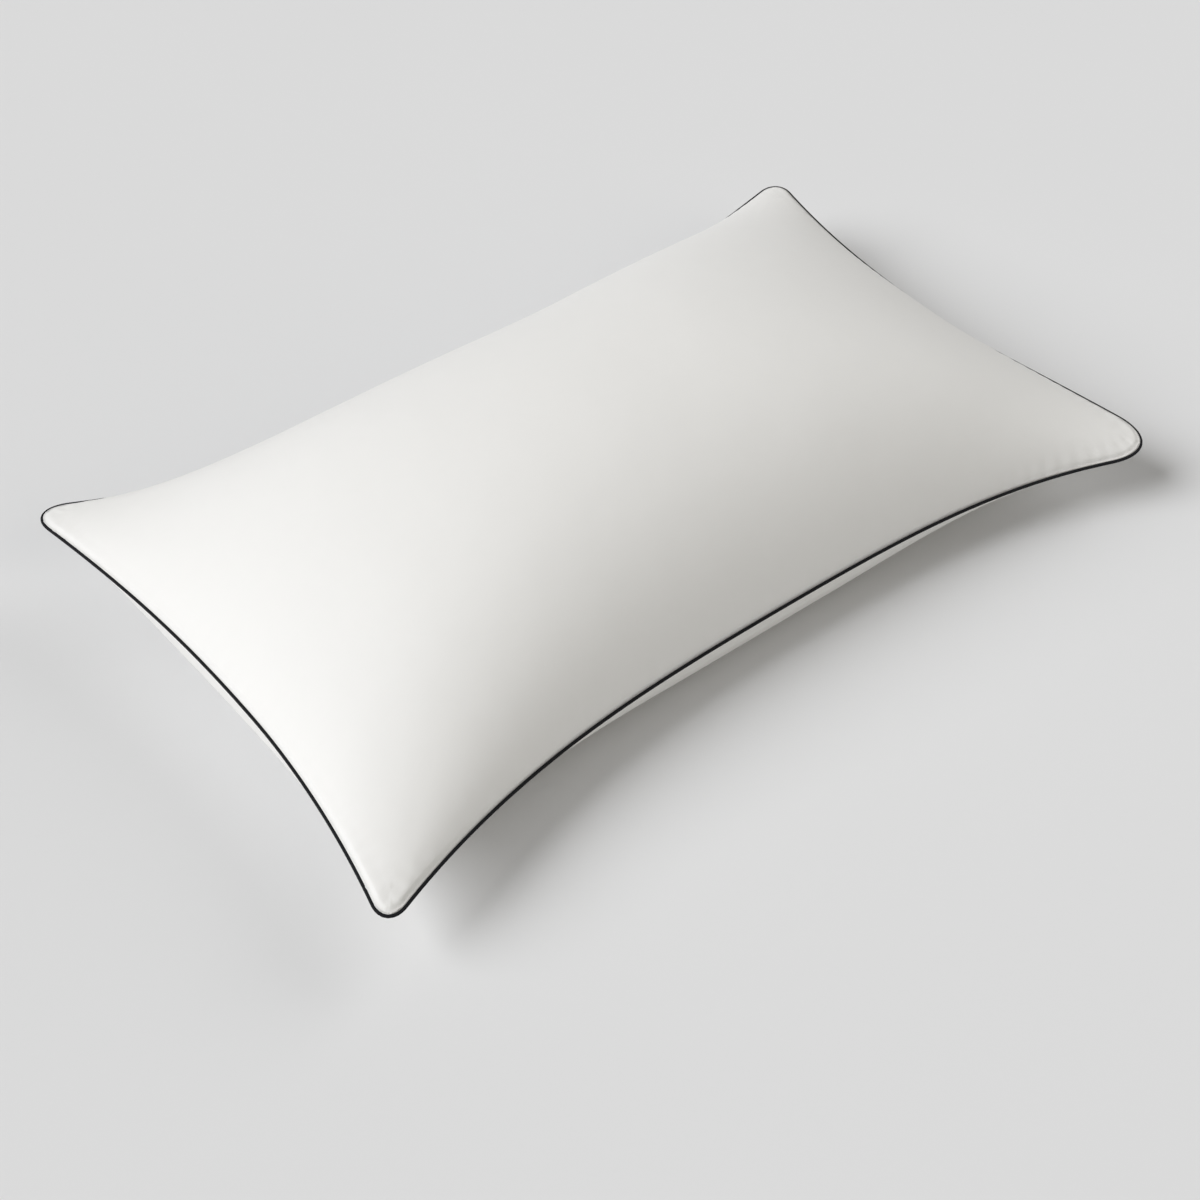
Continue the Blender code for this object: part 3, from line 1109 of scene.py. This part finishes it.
def spline_point(points, t):
    """A point on the smooth curve through the points, with t from 0 to 1."""
    last = len(points) - 1
    index = min(floor(t * last), last - 1)
    share = t * last - index
    before, first = points[max(index - 1, 0)], points[index]
    second, after = points[index + 1], points[min(index + 2, last)]
    made = []
    for a, b, c, d in zip(before, first, second, after):
        cubic = 2 * b + (c - a) * share + (2 * a - 5 * b + 4 * c - d) * share**2
        made.append((cubic + (3 * b - a - 3 * c + d) * share**3) / 2)
    return made


def label_mesh(root, out, along):
    """The tape goes out along the route, turns round a narrow fold and comes back under itself."""
    route = label_route()
    steps, across = LABEL_CELLS
    bm = bmesh.new()
    bmesh.ops.create_grid(bm, x_segments=2 * steps, y_segments=across, size=1.0)
    lay_uv(bm, bm.faces, LABEL_HALF, LABEL_WIDTH / 2)
    for vertex in bm.verts:
        t = vertex.co.x
        here = spline_point(route, 1 - abs(t))
        ahead = spline_point(route, min(1 - abs(t) + 0.01, 1.0))
        back = spline_point(route, max(1 - abs(t) - 0.01, 0.0))
        run = Vector((ahead[0] - back[0], ahead[1] - back[1])).normalized()
        gap = LABEL_LANE * (1 if t > 0 else -1) * min(abs(t) * LABEL_TURN, 1.0) ** 0.5
        gap += LABEL_CURL * (1 - abs(t)) ** 2 * (vertex.co.y**2 - 0.3)
        side = vertex.co.y * LABEL_WIDTH / 2
        rise = Vector((0, 0, here[1] + run.x * gap))
        vertex.co = root + out * (here[0] - run.y * gap) + along * side + rise
    label = object_from("label", bm)
    thicken(label, LABEL_TAPE, 0)
    return label


class PILLOW_OT_inside(bpy.types.Operator):
    """Give the cord and the hidden seam threads their own finishes."""

    bl_idname = "pillow.inside"
    bl_label = "Cord and seam threads"

    def execute(self, context):
        colours = context.scene.pillow_colours
        thread = spun_thread(colours.thread)
        finishes = {
            "piping_cord": cord_yarn(colours.cord),
            "seam_needle_thread": thread,
            "seam_bobbin_thread": thread,
            "overlock_thread": thread,
        }
        for name, material in finishes.items():
            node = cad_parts[name]
            node.data.materials.clear()
            node.data.materials.append(material)
        return {"FINISHED"}


# --- Stage ---------------------------------------------------------------------------------------

# Half the floor's side, and how far it lies below the pillow so that the two never coincide.
FLOOR_HALF = 9.0
FLOOR_DROP = 0.2 * MM

# The even light of the room, then the softboxes: how wide each one looks from the pillow, and
# its azimuth, elevation, strength and colour.
SKY_COLOUR = (1.0, 0.985, 0.95, 1.0)
SKY_STRENGTH = 0.19
SOFTBOX_ANGLE = radians(40)
SOFTBOXES = {
    "key": (-115, 38, 0.945, (0.97, 0.98, 1.0)),
    "side": (90, 30, 0.23, (1.0, 1.0, 1.0)),
    "front": (10, 30, 0.155, (1.0, 0.97, 0.90)),
}

# The camera: its lens and sensor in millimetres, the direction it stands in, the point it looks
# at, its distance from that point and its roll in degrees.
LENS, SENSOR = 59.77, 36.0
CAMERA_AZIMUTH, CAMERA_ELEVATION = -39.54, 44.21
CAMERA_AIM = (-0.0832, -0.0804, 0.042)
CAMERA_DISTANCE = 1.3747
CAMERA_ROLL = 0.981


def from_angles(azimuth, elevation):
    """Direction with azimuth 0 at the pillow's front (-Y), turning towards +X."""
    a, e = radians(azimuth), radians(elevation)
    return Vector((sin(a) * cos(e), -cos(a) * cos(e), sin(e)))


def add_softbox(name, azimuth, elevation, strength, colour):
    """A wide, soft light from far away."""
    lamp = bpy.data.lights.new(name, "SUN")
    lamp.angle = SOFTBOX_ANGLE
    lamp.energy = pi * strength
    lamp.color = colour
    obj = bpy.data.objects.new(name, lamp)
    obj.rotation_euler = from_angles(azimuth, elevation).to_track_quat("Z", "Y").to_euler()
    bpy.context.scene.collection.objects.link(obj)


class PILLOW_OT_stage(bpy.types.Operator):
    """Make the floor, the soft studio light and the camera."""

    bl_idname = "pillow.stage"
    bl_label = "Stage"

    def execute(self, context):
        scene = context.scene
        bm = bmesh.new()
        bmesh.ops.create_grid(bm, x_segments=2, y_segments=2, size=FLOOR_HALF)
        paper = object_from("floor", bm)
        paper.location.z = -FLOOR_DROP
        paper.data.materials.append(studio_floor(scene.pillow_colours.floor))

        world = bpy.data.worlds.new("studio")
        world.use_nodes = True
        sky = world.node_tree.nodes["Background"]
        sky.inputs["Color"].default_value = SKY_COLOUR
        sky.inputs["Strength"].default_value = SKY_STRENGTH
        scene.world = world
        scene.view_settings.view_transform = "Standard"

        for name, softbox in SOFTBOXES.items():
            add_softbox(name, *softbox)

        camera = bpy.data.objects.new("camera", bpy.data.cameras.new("camera"))
        camera.data.lens = LENS
        camera.data.sensor_width = SENSOR
        away = from_angles(CAMERA_AZIMUTH, CAMERA_ELEVATION)
        turn = away.to_track_quat("Z", "Y").to_matrix()
        turn = Matrix.Rotation(radians(CAMERA_ROLL), 3, away) @ turn
        spot = Vector(CAMERA_AIM) + away * CAMERA_DISTANCE
        camera.matrix_world = Matrix.Translation(spot) @ turn.to_4x4()
        scene.collection.objects.link(camera)
        scene.camera = camera
        return {"FINISHED"}


class PILLOW_PT_panel(bpy.types.Panel):
    """Lists the pillow's settings and the steps that make it."""

    bl_label = "Pillow"
    bl_space_type = "VIEW_3D"
    bl_region_type = "UI"
    bl_category = "Pillow"

    def draw(self, context):
        for group in (context.scene.pillow_sizes, context.scene.pillow_colours):
            for name in group.bl_rna.properties.keys():
                if name not in {"rna_type", "name"}:
                    self.layout.prop(group, name)
        for operator in OPERATORS:
            self.layout.operator(operator.bl_idname)


OPERATORS = (
    PILLOW_OT_stage,
    PILLOW_OT_shell,
    PILLOW_OT_piping,
    PILLOW_OT_stitches,
    PILLOW_OT_label,
    PILLOW_OT_inside,
)
CLASSES = (PillowSizes, PillowColours, *OPERATORS, PILLOW_PT_panel)


def register():
    for item in CLASSES:
        bpy.utils.register_class(item)
    bpy.types.Scene.pillow_sizes = PointerProperty(type=PillowSizes)
    bpy.types.Scene.pillow_colours = PointerProperty(type=PillowColours)


def unregister():
    del bpy.types.Scene.pillow_colours
    del bpy.types.Scene.pillow_sizes
    for item in reversed(CLASSES):
        bpy.utils.unregister_class(item)


def main():
    register()
    bpy.ops.pillow.stage()
    bpy.ops.pillow.shell()
    bpy.ops.pillow.piping()
    bpy.ops.pillow.stitches()
    bpy.ops.pillow.label()
    bpy.ops.pillow.inside()
    bpy.context.view_layer.update()


if __name__ == "__main__":
    main()
